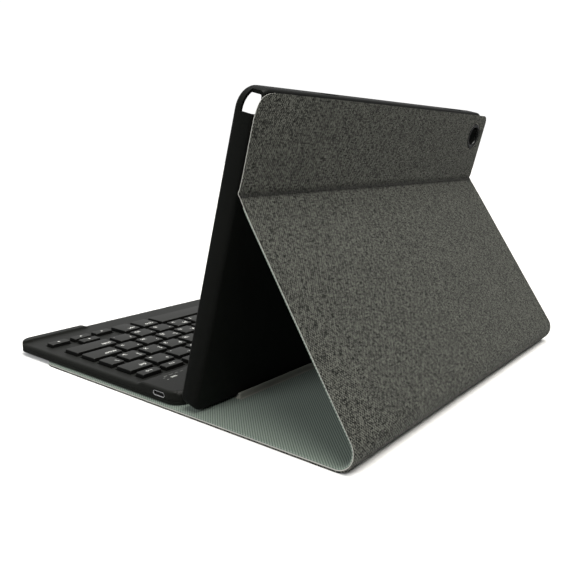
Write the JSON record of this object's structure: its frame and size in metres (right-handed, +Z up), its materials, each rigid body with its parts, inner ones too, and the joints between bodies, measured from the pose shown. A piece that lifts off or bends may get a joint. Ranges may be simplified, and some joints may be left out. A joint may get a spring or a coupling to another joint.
{
  "type": "tablet keyboard case",
  "caption": "Folio stand case for a small tablet: soft tray, fabric sheet folded into a stand leg and front cover, and a thin detachable keyboard.",
  "frame": {"origin": "on the table, under the middle of the whole case as it stands open with the keyboard in front", "axes": "+X to the typist's right, +Y from the typist to the back of the stand, +Z up"},
  "size_m": [0.256, 0.262, 0.1627],
  "materials": {
    "woven_fabric": "charcoal melange plain weave",
    "stiffener_board": "raw sheet",
    "microfibre_lining": "fine diagonal rib, napped",
    "soft_tray_plastic": "moulded, satin",
    "adhesive_sheet": "plain",
    "magnet": "plated",
    "keyboard_plastic": "fine moulded texture",
    "key_plastic": "fine moulded texture with pale legends",
    "steel_plate": "rolled",
    "silicone_sheet": "translucent, matte",
    "circuit_laminate": "lacquered",
    "battery_foil": "laminated foil",
    "connector_steel": "plated",
    "light_lens": "clear",
    "foot_rubber": "matte"
  },
  "bodies": {
    "front_cover": {"cover_fabric": "woven_fabric", "cover_board": "stiffener_board", "cover_lining": "microfibre_lining", "stop_bar": "microfibre_lining", "stop_magnet": "magnet", "cover_magnet_left": "magnet", "cover_magnet_right": "magnet", "spine_fabric": "woven_fabric", "spine_lining": "microfibre_lining"},
    "leg": {"leg_fabric": "woven_fabric", "leg_board": "stiffener_board", "leg_lining": "microfibre_lining", "fold_fabric": "woven_fabric"},
    "tray": {"tray_shell": "soft_tray_plastic", "upper_panel_fabric": "woven_fabric", "upper_panel_board": "stiffener_board", "adhesive_sheet": "adhesive_sheet", "camera_collar": "soft_tray_plastic"},
    "keyboard": {"bottom_case": "keyboard_plastic", "top_case": "keyboard_plastic", "support_plate": "steel_plate", "dome_sheet": "silicone_sheet", "battery": "battery_foil", "circuit_board": "circuit_laminate", "usb_connector": "connector_steel", "status_light": "light_lens", "keyboard_magnet_left": "magnet", "keyboard_magnet_right": "magnet", "foot_front_left": "foot_rubber", "foot_front_right": "foot_rubber", "foot_rear_left": "foot_rubber", "foot_rear_right": "foot_rubber"},
    "switch_slider": {"power_switch": "key_plastic"},
    "arrow_right_cap": {"arrow_right_key": "key_plastic"},
    "arrow_up_cap": {"arrow_up_key": "key_plastic"},
    "arrow_down_cap": {"arrow_down_key": "key_plastic"},
    "arrow_left_cap": {"arrow_left_key": "key_plastic"},
    "right_option_cap": {"right_option_key": "key_plastic"},
    "right_command_cap": {"right_command_key": "key_plastic"},
    "space_cap": {"space_key": "key_plastic"},
    "left_command_cap": {"left_command_key": "key_plastic"},
    "left_option_cap": {"left_option_key": "key_plastic"},
    "left_control_cap": {"left_control_key": "key_plastic"},
    "function_shift_cap": {"function_shift_key": "key_plastic"},
    "right_shift_cap": {"right_shift_key": "key_plastic"},
    "left_shift_cap": {"left_shift_key": "key_plastic"},
    "enter_cap": {"enter_key": "key_plastic"},
    "caps_lock_cap": {"caps_lock_key": "key_plastic"},
    "backslash_cap": {"backslash_key": "key_plastic"},
    "tab_cap": {"tab_key": "key_plastic"},
    "backspace_cap": {"backspace_key": "key_plastic"},
    "lock_cap": {"lock_key": "key_plastic"},
    "lower_letter_caps": {"lower_letter_keys": "key_plastic"},
    "home_letter_caps": {"home_letter_keys": "key_plastic"},
    "upper_letter_caps": {"upper_letter_keys": "key_plastic"},
    "number_caps": {"number_keys": "key_plastic"},
    "function_caps": {"function_keys": "key_plastic"}
  },
  "joints": [
    {"name": "rear_bend", "type": "hinge", "parent": "front_cover", "child": "leg", "pos_m": [0, 0.13165, 0.0041], "axis": [-1, 0, 0], "range_deg": [0, 121.93], "deforming": ["spine_fabric", "spine_lining"]},
    {"name": "tray_fold", "type": "hinge", "parent": "leg", "child": "tray", "pos_m": [0, 0.06819, 0.11346], "axis": [1, 0, 0], "range_deg": [0, 46.78], "deforming": ["fold_fabric"]},
    {"name": "keyboard_lift", "type": "slide", "parent": "front_cover", "child": "keyboard", "axis": [0, 0, 1], "range_m": [0, 0.04]},
    {"name": "power_slide", "type": "slide", "parent": "keyboard", "child": "switch_slider", "axis": [0, 1, 0], "range_m": [0, 0.003]},
    {"name": "arrow_right_press", "type": "slide", "parent": "keyboard", "child": "arrow_right_cap", "axis": [0, 0, -1], "range_m": [0, 0.0011], "stiffness_N_per_m": 400, "springref_m": -0.0006},
    {"name": "arrow_up_press", "type": "slide", "parent": "keyboard", "child": "arrow_up_cap", "axis": [0, 0, -1], "range_m": [0, 0.0011], "stiffness_N_per_m": 400, "springref_m": -0.0006},
    {"name": "arrow_down_press", "type": "slide", "parent": "keyboard", "child": "arrow_down_cap", "axis": [0, 0, -1], "range_m": [0, 0.0011], "stiffness_N_per_m": 400, "springref_m": -0.0006},
    {"name": "arrow_left_press", "type": "slide", "parent": "keyboard", "child": "arrow_left_cap", "axis": [0, 0, -1], "range_m": [0, 0.0011], "stiffness_N_per_m": 400, "springref_m": -0.0006},
    {"name": "right_option_press", "type": "slide", "parent": "keyboard", "child": "right_option_cap", "axis": [0, 0, -1], "range_m": [0, 0.0011], "stiffness_N_per_m": 400, "springref_m": -0.0006},
    {"name": "right_command_press", "type": "slide", "parent": "keyboard", "child": "right_command_cap", "axis": [0, 0, -1], "range_m": [0, 0.0011], "stiffness_N_per_m": 400, "springref_m": -0.0006},
    {"name": "space_press", "type": "slide", "parent": "keyboard", "child": "space_cap", "axis": [0, 0, -1], "range_m": [0, 0.0011], "stiffness_N_per_m": 400, "springref_m": -0.0006},
    {"name": "left_command_press", "type": "slide", "parent": "keyboard", "child": "left_command_cap", "axis": [0, 0, -1], "range_m": [0, 0.0011], "stiffness_N_per_m": 400, "springref_m": -0.0006},
    {"name": "left_option_press", "type": "slide", "parent": "keyboard", "child": "left_option_cap", "axis": [0, 0, -1], "range_m": [0, 0.0011], "stiffness_N_per_m": 400, "springref_m": -0.0006},
    {"name": "left_control_press", "type": "slide", "parent": "keyboard", "child": "left_control_cap", "axis": [0, 0, -1], "range_m": [0, 0.0011], "stiffness_N_per_m": 400, "springref_m": -0.0006},
    {"name": "function_shift_press", "type": "slide", "parent": "keyboard", "child": "function_shift_cap", "axis": [0, 0, -1], "range_m": [0, 0.0011], "stiffness_N_per_m": 400, "springref_m": -0.0006},
    {"name": "right_shift_press", "type": "slide", "parent": "keyboard", "child": "right_shift_cap", "axis": [0, 0, -1], "range_m": [0, 0.0011], "stiffness_N_per_m": 400, "springref_m": -0.0006},
    {"name": "left_shift_press", "type": "slide", "parent": "keyboard", "child": "left_shift_cap", "axis": [0, 0, -1], "range_m": [0, 0.0011], "stiffness_N_per_m": 400, "springref_m": -0.0006},
    {"name": "enter_press", "type": "slide", "parent": "keyboard", "child": "enter_cap", "axis": [0, 0, -1], "range_m": [0, 0.0011], "stiffness_N_per_m": 400, "springref_m": -0.0006},
    {"name": "caps_lock_press", "type": "slide", "parent": "keyboard", "child": "caps_lock_cap", "axis": [0, 0, -1], "range_m": [0, 0.0011], "stiffness_N_per_m": 400, "springref_m": -0.0006},
    {"name": "backslash_press", "type": "slide", "parent": "keyboard", "child": "backslash_cap", "axis": [0, 0, -1], "range_m": [0, 0.0011], "stiffness_N_per_m": 400, "springref_m": -0.0006},
    {"name": "tab_press", "type": "slide", "parent": "keyboard", "child": "tab_cap", "axis": [0, 0, -1], "range_m": [0, 0.0011], "stiffness_N_per_m": 400, "springref_m": -0.0006},
    {"name": "backspace_press", "type": "slide", "parent": "keyboard", "child": "backspace_cap", "axis": [0, 0, -1], "range_m": [0, 0.0011], "stiffness_N_per_m": 400, "springref_m": -0.0006},
    {"name": "lock_press", "type": "slide", "parent": "keyboard", "child": "lock_cap", "axis": [0, 0, -1], "range_m": [0, 0.0011], "stiffness_N_per_m": 400, "springref_m": -0.0006},
    {"name": "lower_letter_press", "type": "slide", "parent": "keyboard", "child": "lower_letter_caps", "axis": [0, 0, -1], "range_m": [0, 0.0011], "stiffness_N_per_m": 400, "springref_m": -0.0006},
    {"name": "home_letter_press", "type": "slide", "parent": "keyboard", "child": "home_letter_caps", "axis": [0, 0, -1], "range_m": [0, 0.0011], "stiffness_N_per_m": 400, "springref_m": -0.0006},
    {"name": "upper_letter_press", "type": "slide", "parent": "keyboard", "child": "upper_letter_caps", "axis": [0, 0, -1], "range_m": [0, 0.0011], "stiffness_N_per_m": 400, "springref_m": -0.0006},
    {"name": "number_press", "type": "slide", "parent": "keyboard", "child": "number_caps", "axis": [0, 0, -1], "range_m": [0, 0.0011], "stiffness_N_per_m": 400, "springref_m": -0.0006},
    {"name": "function_press", "type": "slide", "parent": "keyboard", "child": "function_caps", "axis": [0, 0, -1], "range_m": [0, 0.0011], "stiffness_N_per_m": 400, "springref_m": -0.0006}
  ],
  "couplings": [
    {"joint": "tray_fold", "follows": "rear_bend", "ratio": 0.38351}
  ]
}
